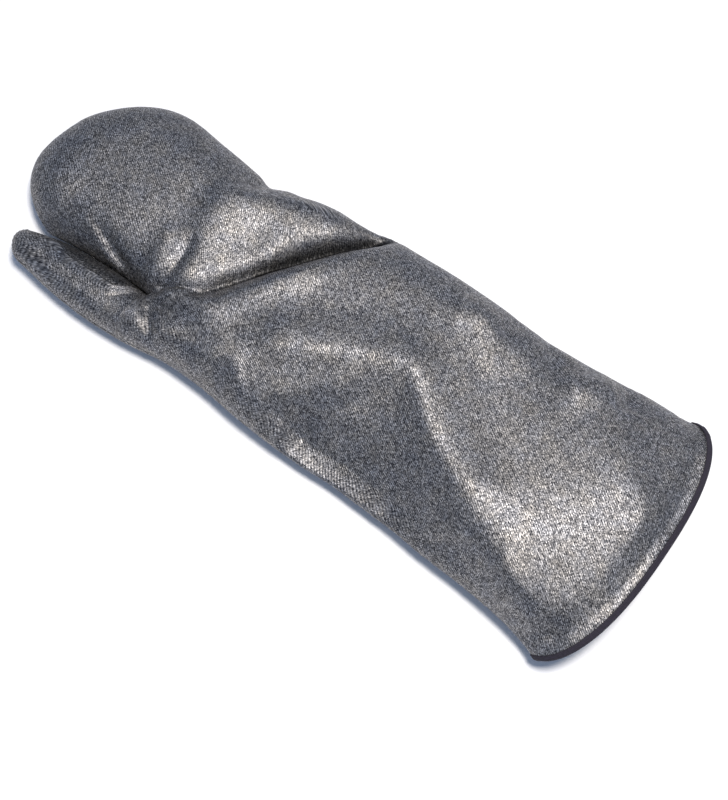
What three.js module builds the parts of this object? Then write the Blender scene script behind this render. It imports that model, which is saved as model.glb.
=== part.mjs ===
import * as THREE from "three";

// A padded mitt with one pocket for the fingers, a thumb and a long gauntlet, lying palm down.
// Millimetres. +X points from the thumb side to the little finger side, +Y from the cuff to the
// fingertips and +Z up. The palm rests on the plane z = 0.

// Walls, hem and clearance
const WALL = 5.5; // padded wall: outer cloth, batting and inner cloth
const HEM_WALL = 3; // the same wall pressed flat at the bound edge
const HEM_REACH = 26; // the wall fills out over this length behind the edge
const CLEARANCE = 0.3; // between two pieces that touch
const TAPE = 1.1; // thickness of the binding tape
const TAPE_LIFT = TAPE + CLEARANCE + 0.2; // the palm's hem stands this high on the tape under it
const LIFT_START = 6; // and comes down to the floor between these distances from the edge
const LIFT_END = 22;

// Meshing: columns across a panel, and rows along the gauntlet, the thumb and the fingers
const COLUMNS = 24;
const THUMB_COLUMNS = 8;
const HEM_ROWS = [0, 2.5, 5, 11, 19, 28]; // the tape covers the first three
const GAUNTLET_ROWS = 13;
const WRIST_ROWS = 11;
const WRIST_START = 268; // rows lie closer from here to the crotch, where the wrist is creased
const CROTCH_ROWS = 5;
const THUMB_ROWS = 9;
const FINGER_ROWS = 11;

// Shape of a cross section: a power of 2 is an ellipse, a higher one is flatter
const TOP_POWER = 2.4;
const THUMB_POWER = 2;
const UNDER_POWER = 4.5;
const PRESS = 1.04; // the underside would reach 4 % below the floor, and is pressed flat there
const CUFF_POWER = 2.5;
const TIP_POWERS = { left: 3.2, right: 1.5 }; // the fingertip is full on the thumb side

// The side seams of the gauntlet and the hand, seen from above
const OUTLINE = [
  { y: -268, left: -115, right: 112.5 },
  { y: -258, left: -112.5, right: 109.5 },
  { y: -247, left: -109.5, right: 108 },
  { y: -232, left: -106, right: 107.5 },
  { y: -215, left: -103.5, right: 106.5 },
  { y: -185, left: -101, right: 102.5 },
  { y: -150, left: -99.5, right: 100 },
  { y: -120, left: -97, right: 100 },
  { y: -95, left: -96.5, right: 102 },
  { y: -65, left: -95.5, right: 103 },
  { y: -36, left: -97, right: 103 },
  { y: -5, left: -97, right: 102 },
  { y: 17, left: -96, right: 101.5 },
  { y: 32, left: -95, right: 97.5 },
  { y: 50, left: -93, right: 95.5 },
  { y: 68, left: -91.5, right: 95 },
  { y: 87, left: -91, right: 92.3 },
  { y: 99, left: -91, right: 88.8 },
  { y: 111, left: -92, right: 86.5 },
  { y: 127, left: -94.5, right: 80.5 },
  { y: 141, left: -96.5, right: 84 },
  { y: 150, left: -97.5, right: 86 },
];

// Cross sections of the gauntlet, by distance from the corners of the cuff: height of the back,
// height of the side seams, and how far the row bows out towards the cuff above and below
const SECTIONS = [
  { along: 0, crown: 43, seam: 17, bow: -34.5, underBow: -19 },
  { along: 12, crown: 46, seam: 17, bow: -33.5, underBow: -19 },
  { along: 30, crown: 49, seam: 17.5, bow: -31, underBow: -18 },
  { along: 80, crown: 54, seam: 18, bow: -21, underBow: -14 },
  { along: 150, crown: 57, seam: 18, bow: -9, underBow: -8 },
  { along: 230, crown: 58, seam: 18, bow: -2, underBow: -2 },
  { along: 300, crown: 57, seam: 18, bow: 0, underBow: 0 },
  { along: 350, crown: 54, seam: 17.5, bow: 0, underBow: 0 },
  { along: 385, crown: 50, seam: 17, bow: 0, underBow: 0 },
  { along: 416, crown: 49, seam: 17, bow: 0, underBow: 0 },
];
const BODY_LENGTH = 416;
const CUFF_LEFT_Y = -262;
const CUFF_RIGHT_Y = -264;
const BLEND_LENGTH = 90; // the one section parts into two over this length below the crotch
const VALLEY_LENGTH = 34; // the valley straight below the crotch is this long
const VALLEY_WIDTH = 0.075; // and this wide, as a share of the columns

// Rows across the thumb and across the fingers, from the crotch to the tip: their two ends, how
// far they bow towards the tip, and the heights of the back and of the seams
const THUMB = [
  { at: 0, leftX: -97.5, leftY: 150, rightX: -55, rightY: 149, bow: 0, crown: 41, seam: 17 },
  { at: 0.3, leftX: -99, leftY: 182, rightX: -54.2, rightY: 180, bow: 1, crown: 40, seam: 17.5 },
  { at: 0.6, leftX: -97.5, leftY: 211, rightX: -55.7, rightY: 210, bow: 3, crown: 38, seam: 17.5 },
  { at: 0.8, leftX: -94.5, leftY: 232, rightX: -59.3, rightY: 239, bow: 7, crown: 36, seam: 17.5 },
  { at: 1, leftX: -89.5, leftY: 250, rightX: -65.5, rightY: 268, bow: 12, crown: 34, seam: 18 },
];
const FINGERS = [
  { at: 0, leftX: -55, leftY: 149, rightX: 84, rightY: 141, bow: 0, crown: 49, seam: 17 },
  { at: 0.25, leftX: -53, leftY: 176, rightX: 87, rightY: 163, bow: 9, crown: 50, seam: 17 },
  { at: 0.5, leftX: -54, leftY: 203, rightX: 89, rightY: 181, bow: 26, crown: 51, seam: 17 },
  { at: 0.75, leftX: -56.5, leftY: 230, rightX: 90.5, rightY: 196, bow: 49, crown: 50, seam: 17.5 },
  { at: 1, leftX: -59.5, leftY: 250, rightX: 91, rightY: 208, bow: 71, crown: 48, seam: 18 },
];
const THUMB_CAP = 0.72; // the thumb's end rounds over from here to its tip
const FINGER_CAP = 0.7;
const THUMB_ROLL = 70; // degrees by which the thumb's inner seam is rolled up onto its back
const ROLL_FULL = 0.2; // the roll grows up to here
const ROLL_FADE = 0.6; // and is gone again between here and ROLL_END
const ROLL_END = 0.92;

// Folds in the back panel: ends, sideways bend, height (a valley is negative), and how wide it is
// on its left and its right side, looking from its start to its end
const FOLDS = [
  { name: "wrist crease", x0: -42, y0: 114, x1: 98, y1: 14, bend: -3, height: -10, left: 11, right: 18 },
  { name: "hand bulge", x0: -30, y0: 140, x1: 82, y1: 62, bend: 6, height: 5, left: 26, right: 20 },
  { name: "roll below crease", x0: -50, y0: 92, x1: 40, y1: 20, bend: 0, height: 3, left: 13, right: 16 },
  { name: "wrist notch", x0: 50, y0: 136, x1: 90, y1: 124, bend: 0, height: -4, left: 10, right: 8 },
  { name: "finger root fold", x0: -28, y0: 216, x1: -58, y1: 178, bend: 2, height: -3.5, left: 6, right: 7 },
  { name: "short fold", x0: -40, y0: 178, x1: -58, y1: 156, bend: 0, height: -3, left: 5, right: 5 },
  { name: "crotch fold", x0: -56, y0: 144, x1: -8, y1: 127, bend: -3, height: -4, left: 7, right: 7 },
  { name: "thumb root fold", x0: -62, y0: 142, x1: -88, y1: 116, bend: 0, height: -4, left: 6, right: 6 },
  { name: "gauntlet ridge", x0: 14, y0: -68, x1: -52, y1: -186, bend: -5, height: 6, left: 20, right: 11 },
  { name: "cross hollow", x0: 4, y0: -70, x1: -104, y1: -24, bend: 5, height: -8, left: 20, right: 17 },
  { name: "ridge foot", x0: -22, y0: -86, x1: -76, y1: -168, bend: 0, height: -5, left: 13, right: 18 },
  { name: "long hollow", x0: 0, y0: -112, x1: -6, y1: -200, bend: 0, height: -5, left: 26, right: 20 },
  { name: "seam pucker", x0: -66, y0: 24, x1: -96, y1: 12, bend: 0, height: -3, left: 9, right: 7 },
  { name: "corner dent", x0: -108, y0: -220, x1: -82, y1: -249, bend: 0, height: -8, left: 10, right: 9 },
  { name: "edge dimple", x0: 104, y0: -98, x1: 76, y1: -150, bend: 0, height: -4, left: 12, right: 12 },
  { name: "cuff dimple", x0: 104, y0: -206, x1: 72, y1: -228, bend: 0, height: -4, left: 12, right: 12 },
];

const FOLD_BODY = 0.32; // a fold runs at full height this share of its length from its middle
const FOLD_END = 0.22; // and tapers off over this share beyond
const FOLD_RISE = 1.5; // folds fade out at the seams, where this times the section's rise is below 1

// Two rings in the back panel along the cuff: a raised lip and the stitched groove behind it
const CUFF_RINGS = [
  { name: "lip", along: 7, width: 6, height: 1.6 },
  { name: "groove", along: 23, width: 10, height: -3.4 },
];

const clamp = (value, low, high) => Math.min(high, Math.max(low, value));
const mix = (a, b, t) => a + (b - a) * t;

function smoothStep(low, high, value) {
  const t = clamp((value - low) / (high - low), 0, 1);
  return t * t * (3 - 2 * t);
}

// One row of a table at any position, by cubic pieces through its rows
function lookUp(table, key, position) {
  const last = table.length - 1;
  const at = clamp(position, table[0][key], table[last][key]);
  let low = 0;
  while (low < last - 1 && at > table[low + 1][key]) low += 1;
  const rows = [Math.max(low - 1, 0), low, low + 1, Math.min(low + 2, last)].map((i) => table[i]);
  const [k0, k1, k2, k3] = rows.map((row) => row[key]);
  const span = k2 - k1;
  const t = (at - k1) / span;
  const result = {};
  for (const column of Object.keys(table[0])) {
    const [p0, p1, p2, p3] = rows.map((row) => row[column]);
    const startSlope = ((p2 - p0) / (k2 - k0)) * span;
    const endSlope = ((p3 - p1) / (k3 - k1)) * span;
    result[column] =
      (2 * t ** 3 - 3 * t ** 2 + 1) * p1 +
      (t ** 3 - 2 * t ** 2 + t) * startSlope +
      (3 * t ** 2 - 2 * t ** 3) * p2 +
      (t ** 3 - t ** 2) * endSlope;
  }
  return result;
}

// A smooth bump of height 1 that has faded to about a third at one width from its middle
const bump = (off, width) => Math.exp(-((off / width) ** 2));

// Rise of a rounded section: 0 at its sides, where across is -1 or 1, and 1 in the middle
function arch(across, power) {
  return Math.sqrt(Math.max(0, 1 - Math.abs(across) ** power));
}

// Places across a section are spread by angle, so that they lie closer at its sides
const acrossAt = (share) => -Math.cos(Math.PI * share);

// Height that the folds add to the back panel at a place seen from above
function foldHeight(x, y) {
  let height = 0;
  for (const fold of FOLDS) {
    const dx = fold.x1 - fold.x0;
    const dy = fold.y1 - fold.y0;
    const length = Math.hypot(dx, dy);
    const t = ((x - fold.x0) * dx + (y - fold.y0) * dy) / length ** 2;
    const sway = fold.bend * 4 * clamp(t, 0, 1) * (1 - clamp(t, 0, 1));
    const off = ((y - fold.y0) * dx - (x - fold.x0) * dy) / length - sway;
    const width = off > 0 ? fold.left : fold.right;
    const beyond = Math.max(0, Math.abs(t - 0.5) - FOLD_BODY);
    height += fold.height * bump(off, width) * bump(beyond, FOLD_END);
  }
  return height;
}

// Height that the lip and the groove add at a distance from the cuff
function cuffHeight(along) {
  let height = 0;
  for (const ring of CUFF_RINGS) height += ring.height * bump(along - ring.along, ring.width);
  return height;
}

// A point of a row seen from above: between its two ends, and bowed out square to them
function rowPoint(row, across, bow, powers = { left: CUFF_POWER, right: CUFF_POWER }) {
  const dx = row.rightX - row.leftX;
  const dy = row.rightY - row.leftY;
  const out = (bow * arch(across, across < 0 ? powers.left : powers.right)) / Math.hypot(dx, dy);
  const t = (1 + across) / 2;
  return new THREE.Vector3(row.leftX + dx * t - dy * out, row.leftY + dy * t + dx * out, 0);
}

// Height of a section above or below its seams. The underside is pressed flat on the floor.
function sectionHeight(side, across, row, power, cap) {
  if (side > 0) return row.seam + (row.crown - row.seam) * cap * arch(across, power);
  return Math.max(0, row.seam * (1 - PRESS * cap * arch(across, UNDER_POWER)));
}

function withFolds(point, side, rise) {
  if (side > 0) point.z += foldHeight(point.x, point.y) * Math.min(1, FOLD_RISE * rise);
  return point;
}

// A point of the gauntlet and hand, where the thumb and the fingers still share one section
function bodyPoint(side, along, column) {
  const section = lookUp(SECTIONS, "along", along);
  const leftY = CUFF_LEFT_Y + (along / BODY_LENGTH) * (THUMB[0].leftY - CUFF_LEFT_Y);
  const rightY = CUFF_RIGHT_Y + (along / BODY_LENGTH) * (FINGERS[0].rightY - CUFF_RIGHT_Y);
  const row = {
    leftX: lookUp(OUTLINE, "y", leftY).left,
    leftY,
    rightX: lookUp(OUTLINE, "y", rightY).right,
    rightY,
    seam: section.seam,
    crown: section.crown,
  };
  const across = acrossAt(column / COLUMNS);
  const bow = side > 0 ? section.bow : section.underBow;
  const point = rowPoint(row, across, bow);
  point.z = sectionHeight(side, across, row, TOP_POWER, 1);
  let rise = arch(across, TOP_POWER);
  const weight = partingWeight(BODY_LENGTH - along, column);
  if (weight > 0) {
    const split = splitPoint(side, row, column);
    rise = mix(rise, split.rise, weight);
    point.lerp(split.point, weight);
  }
  if (side < 0) point.z += TAPE_LIFT * rise * (1 - smoothStep(LIFT_START, LIFT_END, along));
  if (side > 0) point.z += cuffHeight(along) * rise;
  return withFolds(point, side, rise);
}

// How far the section has parted at a distance below the crotch: gently over the whole width,
// and with a short, steep valley straight below the crotch
function partingWeight(below, column) {
  const gentle = 1 - smoothStep(0, BLEND_LENGTH, below);
  const steep = 1 - Math.sqrt(1 - clamp(1 - below / VALLEY_LENGTH, 0, 1) ** 2);
  return mix(gentle, steep, bump((column - THUMB_COLUMNS) / COLUMNS, VALLEY_WIDTH));
}

// The same point where the section is already parted into a thumb and fingers
function splitPoint(side, row, column) {
  const thumb = column <= THUMB_COLUMNS;
  const part = thumb ? THUMB[0] : FINGERS[0];
  const fingerColumns = COLUMNS - THUMB_COLUMNS;
  const across = acrossAt(thumb ? column / THUMB_COLUMNS : (column - THUMB_COLUMNS) / fingerColumns);
  const crotchShare = (THUMB[0].rightX - THUMB[0].leftX) / (FINGERS[0].rightX - THUMB[0].leftX);
  const crotchRise = THUMB[0].rightY - mix(THUMB[0].leftY, FINGERS[0].rightY, crotchShare);
  const parting = {
    x: mix(row.leftX, row.rightX, crotchShare),
    y: mix(row.leftY, row.rightY, crotchShare) + crotchRise,
  };
  const ends = thumb
    ? { leftX: row.leftX, leftY: row.leftY, rightX: parting.x, rightY: parting.y }
    : { leftX: parting.x, leftY: parting.y, rightX: row.rightX, rightY: row.rightY };
  const power = thumb ? THUMB_POWER : TOP_POWER;
  const point = rowPoint(ends, across, 0);
  point.z = sectionHeight(side, across, part, power, 1);
  return { point, rise: arch(across, power) };
}

// A point of the thumb or the fingers. Their inner seam may be rolled up onto the back.
function digitPoint(side, shape, at, share) {
  const row = lookUp(shape.table, "at", at);
  const cap = Math.sqrt(1 - (Math.max(0, at - shape.capStart) / (1 - shape.capStart)) ** 2);
  const roll = shape.rollAt(at);
  const turn = side > 0 ? roll - Math.PI : roll + Math.PI;
  const angle = Math.PI + turn * share;
  const across = Math.cos(angle);
  const point = rowPoint(row, across, row.bow, shape.bowPowers);
  point.z = sectionHeight(Math.sin(angle) >= 0 ? 1 : -1, across, row, shape.power, cap);
  return withFolds(point, side, arch(acrossAt(share), shape.power) * cap);
}

function thumbRoll(at) {
  const share = smoothStep(0, ROLL_FULL, at) * (1 - smoothStep(ROLL_FADE, ROLL_END, at));
  return THREE.MathUtils.degToRad(THUMB_ROLL) * share;
}

const thumbShape = {
  table: THUMB,
  power: THUMB_POWER,
  capStart: THUMB_CAP,
  bowPowers: { left: CUFF_POWER, right: CUFF_POWER },
  rollAt: thumbRoll,
};
const fingerShape = {
  table: FINGERS,
  power: TOP_POWER,
  capStart: FINGER_CAP,
  bowPowers: TIP_POWERS,
  rollAt: () => 0,
};

// Distances of the rows of the gauntlet from the cuff: close at the hem and near the crotch
function bodyStations() {
  const hemEnd = HEM_ROWS[HEM_ROWS.length - 1];
  const valleyStart = BODY_LENGTH - VALLEY_LENGTH;
  const steps = (count, place) => Array.from({ length: count }, (_, i) => place((i + 1) / count));
  return [
    ...HEM_ROWS,
    ...steps(GAUNTLET_ROWS, (t) => mix(hemEnd, WRIST_START, t)),
    ...steps(WRIST_ROWS, (t) => mix(WRIST_START, valleyStart, t)),
    ...steps(CROTCH_ROWS, (t) => valleyStart + VALLEY_LENGTH * (1 - (1 - t) ** 2)),
  ];
}

const wallAt = (along) => mix(HEM_WALL, WALL, smoothStep(HEM_ROWS[2], HEM_REACH, along));

// One face of a panel: its points, the wall behind each, its triangles, and its edge from the
// cuff round the hand to the cuff. The wall has a thickness, and the seam height that its inner
// face stays clear of, if the seam is level there. An edge point has the inner neighbour towards
// which it is drawn back for the seam, and the angle by which the seam is rolled up.
function sheet(side) {
  const points = [];
  const walls = [];
  const triangles = [];
  const add = (point, thickness, level) => {
    walls.push({ thickness, level });
    return points.push(point) - 1;
  };
  const fill = (rows) => {
    for (let j = 0; j + 1 < rows.length; j += 1) {
      for (let i = 0; i + 1 < rows[j].length; i += 1) {
        const [a, b, c, d] = [rows[j][i], rows[j][i + 1], rows[j + 1][i + 1], rows[j + 1][i]];
        triangles.push(side > 0 ? [a, b, d] : [a, d, b], side > 0 ? [b, c, d] : [b, d, c]);
      }
    }
  };
  const body = bodyStations().map((along) => {
    const level = lookUp(SECTIONS, "along", along).seam;
    const row = [];
    for (let i = 0; i <= COLUMNS; i += 1) row.push(add(bodyPoint(side, along, i), wallAt(along), level));
    return row;
  });
  fill(body);
  const digit = (firstRow, count, shape) => {
    const columns = firstRow.length - 1;
    const rows = [firstRow];
    const rolls = [0];
    for (let j = 1; j <= count; j += 1) {
      const at = (1 - Math.cos((Math.PI * j) / count)) / 2;
      const roll = shape.rollAt(at);
      const level = roll === 0 ? lookUp(shape.table, "at", at).seam : null;
      const row = [];
      for (let i = 0; i <= columns; i += 1) {
        row.push(add(digitPoint(side, shape, at, i / columns), WALL, level));
      }
      rows.push(row);
      rolls.push(roll);
    }
    fill(rows);
    return { rows, rolls };
  };
  const crotch = body.length - 1;
  const thumb = digit(body[crotch].slice(0, THUMB_COLUMNS + 1), THUMB_ROWS, thumbShape);
  const fingers = digit(body[crotch].slice(THUMB_COLUMNS), FINGER_ROWS, fingerShape);

  const edge = [];
  const trace = (point, inner, roll = 0) => edge.push({ point, inner, roll });
  // Along one digit from its right root round its tip to its left root, without the roots
  const traceDigit = ({ rows, rolls }) => {
    const top = rows.length - 1;
    const right = rows[0].length - 1;
    for (let j = 1; j < top; j += 1) trace(rows[j][right], rows[j][right - 1], rolls[j]);
    trace(rows[top][right], rows[top - 1][right - 1]);
    for (let i = right - 1; i > 0; i -= 1) trace(rows[top][i], rows[top - 1][i]);
    trace(rows[top][0], rows[top - 1][1]);
    for (let j = top - 1; j > 0; j -= 1) trace(rows[j][0], rows[j][1]);
  };
  for (let j = 0; j <= crotch; j += 1) trace(body[j][COLUMNS], body[j][COLUMNS - 1]);
  traceDigit(fingers);
  trace(body[crotch][THUMB_COLUMNS], body[crotch - 1][THUMB_COLUMNS]);
  traceDigit(thumb);
  for (let j = crotch; j >= 0; j -= 1) trace(body[j][0], body[j][1]);
  return { side, points, walls, triangles, edge, hem: body.slice(0, 3) };
}

const placeKey = (point) => point.toArray().map((value) => Math.round(value * 1000)).join(",");

// Outward directions of the closed outer skin at every point, shared by the two panels. Along
// the seams they lie level, or are turned up by the roll of the seam.
function addNormals(sheets) {
  const sums = new Map();
  for (const { points, triangles } of sheets) {
    for (const corners of triangles) {
      const [a, b, c] = corners.map((index) => points[index]);
      const normal = b.clone().sub(a).cross(c.clone().sub(a));
      for (const corner of [a, b, c]) {
        const key = placeKey(corner);
        sums.set(key, (sums.get(key) ?? new THREE.Vector3()).add(normal));
      }
    }
  }
  for (const face of sheets) {
    face.normals = face.points.map((point) => sums.get(placeKey(point)).clone().normalize());
    for (const { point, roll } of face.edge) {
      face.normals[point].setZ(0).setLength(Math.cos(roll));
      face.normals[point].z = Math.sin(roll);
    }
  }
}

function meshOf(name, points, triangles, material) {
  const geometry = new THREE.BufferGeometry();
  const positions = points.flatMap((point) => point.toArray());
  geometry.setAttribute("position", new THREE.Float32BufferAttribute(positions, 3));
  geometry.setIndex(triangles.flat());
  const mesh = new THREE.Mesh(geometry, material);
  mesh.name = name;
  return mesh;
}

// A panel: its outer face, its inner face one wall further in, and the band that joins their edges
function panel(name, face, material) {
  const { side, points, normals, walls, triangles, edge, hem } = face;
  const outer = points.map((point) => point.clone());
  const inner = points.map((point, i) => point.clone().addScaledVector(normals[i], -walls[i].thickness));
  inner.forEach((point, i) => {
    const { level } = walls[i];
    if (level !== null) point.z = side > 0 ? Math.max(point.z, level) : Math.min(point.z, level);
  });
  for (const { point, inner: neighbour } of edge) {
    const back = points[neighbour].clone().sub(points[point]).setLength(CLEARANCE / 2);
    outer[point].add(back);
    inner[point].add(back);
  }
  inner.forEach((point, i) => {
    const { level } = walls[i];
    const least = CLEARANCE / 2;
    if (level !== null && Math.abs(point.z - level) < least) point.z = level + side * least;
  });
  const count = points.length;
  const innerTriangles = triangles.map(([a, b, c]) => [a + count, c + count, b + count]);
  const loop = [...hem[0].slice(0, -1), ...edge.slice(0, -1).map(({ point }) => point)];
  const band = loop.flatMap((a, i) => {
    const b = loop[(i + 1) % loop.length];
    const faces = [[a, b + count, b], [a, a + count, b + count]];
    return side > 0 ? faces : faces.map(([p, q, r]) => [p, r, q]);
  });
  return meshOf(name, [...outer, ...inner], [...triangles, ...innerTriangles, ...band], material);
}

// The tape folded over the edge of both panels: a U closed round the mouth
function cuffBinding(back, palm, material) {
  const ring = [];
  for (let i = 0; i <= COLUMNS; i += 1) ring.push({ face: back, column: i });
  for (let i = COLUMNS - 1; i > 0; i -= 1) ring.push({ face: palm, column: i });
  const reach = CLEARANCE + TAPE;
  const rimPoint = (k) => {
    const { face, column } = ring[(k + ring.length) % ring.length];
    return face.points[face.hem[0][column]];
  };
  const profiles = ring.map(({ face, column }, k) => {
    const skin = face.hem.map((row) => face.points[row[column]]);
    const normals = face.hem.map((row) => face.normals[row[column]]);
    const rimDirection = rimPoint(k + 1).clone().sub(rimPoint(k - 1));
    const outward = rimDirection.cross(normals[0]).normalize();
    const place = (row, lift, beyond = 0) =>
      skin[row].clone().addScaledVector(normals[row], lift).addScaledVector(outward, beyond);
    return [
      place(2, reach),
      place(1, reach),
      place(0, reach),
      place(0, 0, reach),
      place(0, -HEM_WALL, reach),
      place(0, -HEM_WALL - reach),
      place(1, -HEM_WALL - reach),
      place(2, -HEM_WALL - reach),
      place(2, -HEM_WALL - CLEARANCE),
      place(1, -HEM_WALL - CLEARANCE),
      place(0, -HEM_WALL - CLEARANCE, CLEARANCE),
      place(0, CLEARANCE, CLEARANCE),
      place(1, CLEARANCE),
      place(2, CLEARANCE),
    ];
  });
  // The quads are split along the same diagonals as the edge of the panel that they cover
  const size = profiles[0].length;
  const triangles = [];
  for (let k = 0; k < profiles.length; k += 1) {
    const next = (k + 1) % profiles.length;
    for (let p = 0; p < size; p += 1) {
      const q = (p + 1) % size;
      const [a, b, c, d] = [k * size + p, k * size + q, next * size + q, next * size + p];
      triangles.push(k < COLUMNS ? [a, b, d] : [a, b, c], k < COLUMNS ? [b, c, d] : [a, c, d]);
    }
  }
  return meshOf("cuff_binding", profiles.flat(), triangles, material);
}

const shellCloth = new THREE.MeshStandardMaterial({ color: 0x74757c, roughness: 0.5, metalness: 0.35 });
const palmCloth = shellCloth.clone();
const tape = new THREE.MeshStandardMaterial({ color: 0x17151b, roughness: 0.75, metalness: 0 });

const backFace = sheet(1);
const palmFace = sheet(-1);
addNormals([backFace, palmFace]);
const glove = new THREE.Group();
glove.add(panel("back_panel", backFace, shellCloth));
glove.add(panel("palm_panel", palmFace, palmCloth));
glove.add(cuffBinding(backFace, palmFace, tape));

// The origin lies on the floor in the middle of the glove
const extent = new THREE.Box3().setFromObject(glove);
const middle = extent.getCenter(new THREE.Vector3());
glove.position.set(-middle.x, -middle.y, -extent.min.z);

export default glove;
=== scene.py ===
"""A padded work mitt of silver and black twill, lying palm down on a pale floor.

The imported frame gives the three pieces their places. Each is made again here as a finer surface, in
the frame's metres: +X to the little finger side, +Y from the cuff to the fingertips, +Z up. The
tables below are in millimetres, and MITT_SHIFT carries them into the frame.
"""

import math
from collections import namedtuple

import bpy
import numpy as np
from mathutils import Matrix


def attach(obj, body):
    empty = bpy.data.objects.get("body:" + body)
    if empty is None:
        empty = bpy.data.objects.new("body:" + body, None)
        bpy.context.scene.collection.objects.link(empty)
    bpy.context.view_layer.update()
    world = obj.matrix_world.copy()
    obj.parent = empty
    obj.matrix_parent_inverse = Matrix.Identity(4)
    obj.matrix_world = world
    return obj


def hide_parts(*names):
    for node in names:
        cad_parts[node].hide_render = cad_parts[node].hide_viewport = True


bl_info = {
    "name": "Padded Work Mitt",
    "version": (1, 0, 0),
    "blender": (4, 5, 0),
    "location": "View3D > Sidebar > Mitt",
    "description": "Builds a padded twill mitt with a bound cuff, and the stage that it lies on",
    "category": "Add Mesh",
}

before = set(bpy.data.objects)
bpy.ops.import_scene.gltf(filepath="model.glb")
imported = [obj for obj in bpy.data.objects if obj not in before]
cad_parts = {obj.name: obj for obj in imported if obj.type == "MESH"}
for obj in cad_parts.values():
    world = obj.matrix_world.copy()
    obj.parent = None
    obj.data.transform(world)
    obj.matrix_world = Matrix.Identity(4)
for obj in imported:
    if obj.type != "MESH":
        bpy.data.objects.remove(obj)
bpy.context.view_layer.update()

MM = 0.001
MITT_SHIFT = np.array([1.16, -2.48, 0.0])


def columns(names, *rows):
    """A table as one array for each of its named columns."""
    return dict(zip(names.split(), np.array(rows, float).T))


# The side seams of the gauntlet and the hand, seen from above
OUTLINE = columns(
    "y left right",
    (-268, -115, 112.5),
    (-258, -112.5, 109.5),
    (-247, -109.5, 108),
    (-232, -106, 107.5),
    (-215, -103.5, 106.5),
    (-185, -101, 102.5),
    (-150, -99.5, 100),
    (-120, -97, 100),
    (-95, -96.5, 102),
    (-65, -95.5, 103),
    (-36, -97, 103),
    (-5, -97, 102),
    (17, -96, 101.5),
    (32, -95, 97.5),
    (50, -93, 95.5),
    (68, -91.5, 95),
    (87, -91, 92.3),
    (99, -91, 88.8),
    (111, -92, 86.5),
    (127, -94.5, 80.5),
    (141, -96.5, 84),
    (150, -97.5, 86),
)

# Cross sections by distance from the corners of the cuff: height of the back, height of the side
# seams, and how far the row bows out towards the cuff above and below
SECTIONS = columns(
    "along crown seam bow under_bow",
    (0, 46.5, 17, -34.5, -19),
    (12, 48.5, 17, -33.5, -19),
    (30, 51, 17.5, -31, -18),
    (80, 54, 18, -21, -14),
    (150, 57, 18, -9, -8),
    (230, 58, 18, -2, -2),
    (300, 57, 18, 0, 0),
    (350, 54, 17.5, 0, 0),
    (385, 50, 17, 0, 0),
    (416, 49, 17, 0, 0),
)
BODY_LENGTH = 416
CUFF_LEFT_Y = -262
CUFF_RIGHT_Y = -264
BLEND_LENGTH = 90
VALLEY_LENGTH = 34
VALLEY_WIDTH = 0.075

# Rows across the thumb and across the fingers, from the crotch to the tip
THUMB = columns(
    "at left_x left_y right_x right_y bow crown seam",
    (0, -97.5, 150, -55, 149, 0, 41, 17),
    (0.3, -99, 182, -54.2, 180, 1, 40, 17.5),
    (0.6, -97.5, 211, -55.7, 210, 3, 38, 17.5),
    (0.8, -94.5, 232, -59.3, 239, 7, 36, 17.5),
    (1, -89.5, 250, -65.5, 268, 12, 34, 18),
)
FINGERS = columns(
    "at left_x left_y right_x right_y bow crown seam",
    (0, -55, 149, 84, 141, 0, 49, 17),
    (0.25, -53, 176, 87, 163, 9, 49, 17),
    (0.5, -54, 203, 89, 181, 26, 47.5, 17),
    (0.75, -56.5, 230, 90.5, 196, 49, 45, 17.5),
    (1, -59.5, 250, 91, 208, 71, 42, 18),
)
THUMB_SHARE = 1 / 3
TOP_POWER = 3
FINGER_POWERS = (6, 3)
THUMB_POWERS = (2, 2)
UNDER_POWER = 4.5
PRESS = 1.04
CUFF_POWER = 2.5
TIP_POWERS = (3.2, 1.5)
THUMB_CAP = 0.72
FINGER_CAP = 0.7
THUMB_ROLL = math.radians(70)
ROLL_FULL = 0.2
ROLL_FADE = 0.6
ROLL_END = 0.92

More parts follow.
